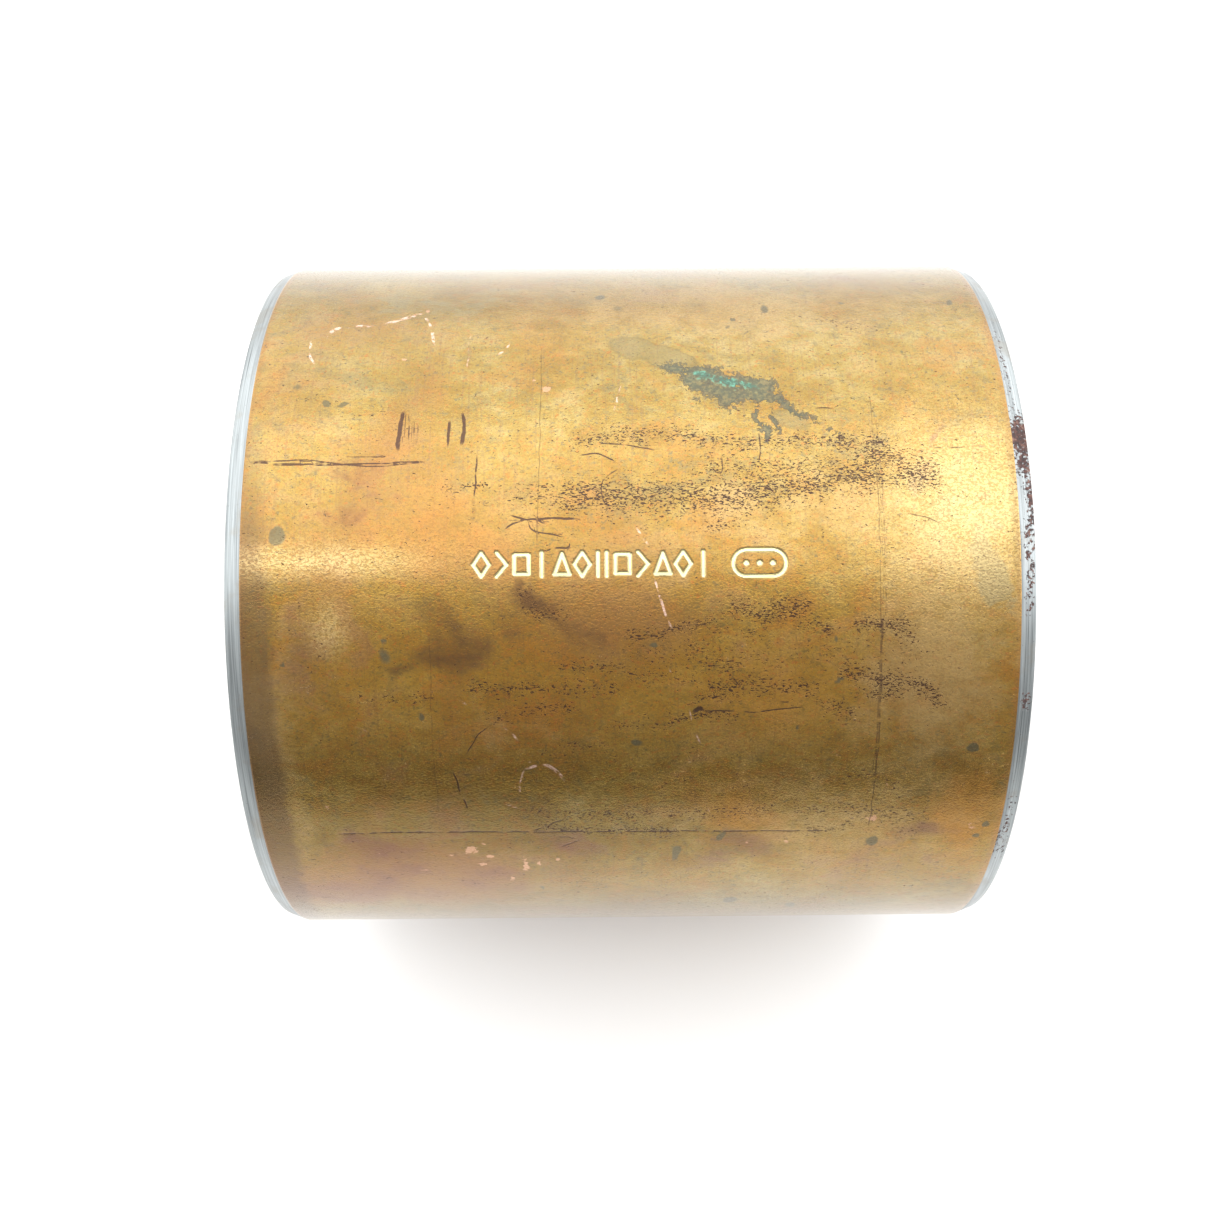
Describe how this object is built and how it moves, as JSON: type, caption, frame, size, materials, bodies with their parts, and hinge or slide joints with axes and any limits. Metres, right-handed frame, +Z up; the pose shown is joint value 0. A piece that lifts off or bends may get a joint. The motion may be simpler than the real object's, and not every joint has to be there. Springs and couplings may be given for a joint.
{
  "type": "sleeve bushing",
  "caption": "Plain cylindrical sleeve bushing: a rolled steel shell plated bronze outside, with a sintered bronze layer and an indented plastic lining, butt split along its length.",
  "frame": {"origin": "centre of the bore at mid-length", "axes": "+X along the bore's axis; +Z up as the bushing lies on its side; the split faces +Y, 19.5 degrees below the horizontal"},
  "size_m": [0.08, 0.08, 0.08],
  "materials": {
    "aged_bronze": "satin rolled strip, tarnished and scratched",
    "bare_steel": "machined, with spots of rust",
    "sintered_bronze": "porous sintered powder, cut edge only",
    "acetal": "smooth, with shallow grease indents"
  },
  "bodies": {
    "root": {"bronze_plating": "aged_bronze", "steel_backing": "bare_steel", "sintered_bronze_layer": "sintered_bronze", "acetal_lining": "acetal"}
  },
  "joints": []
}
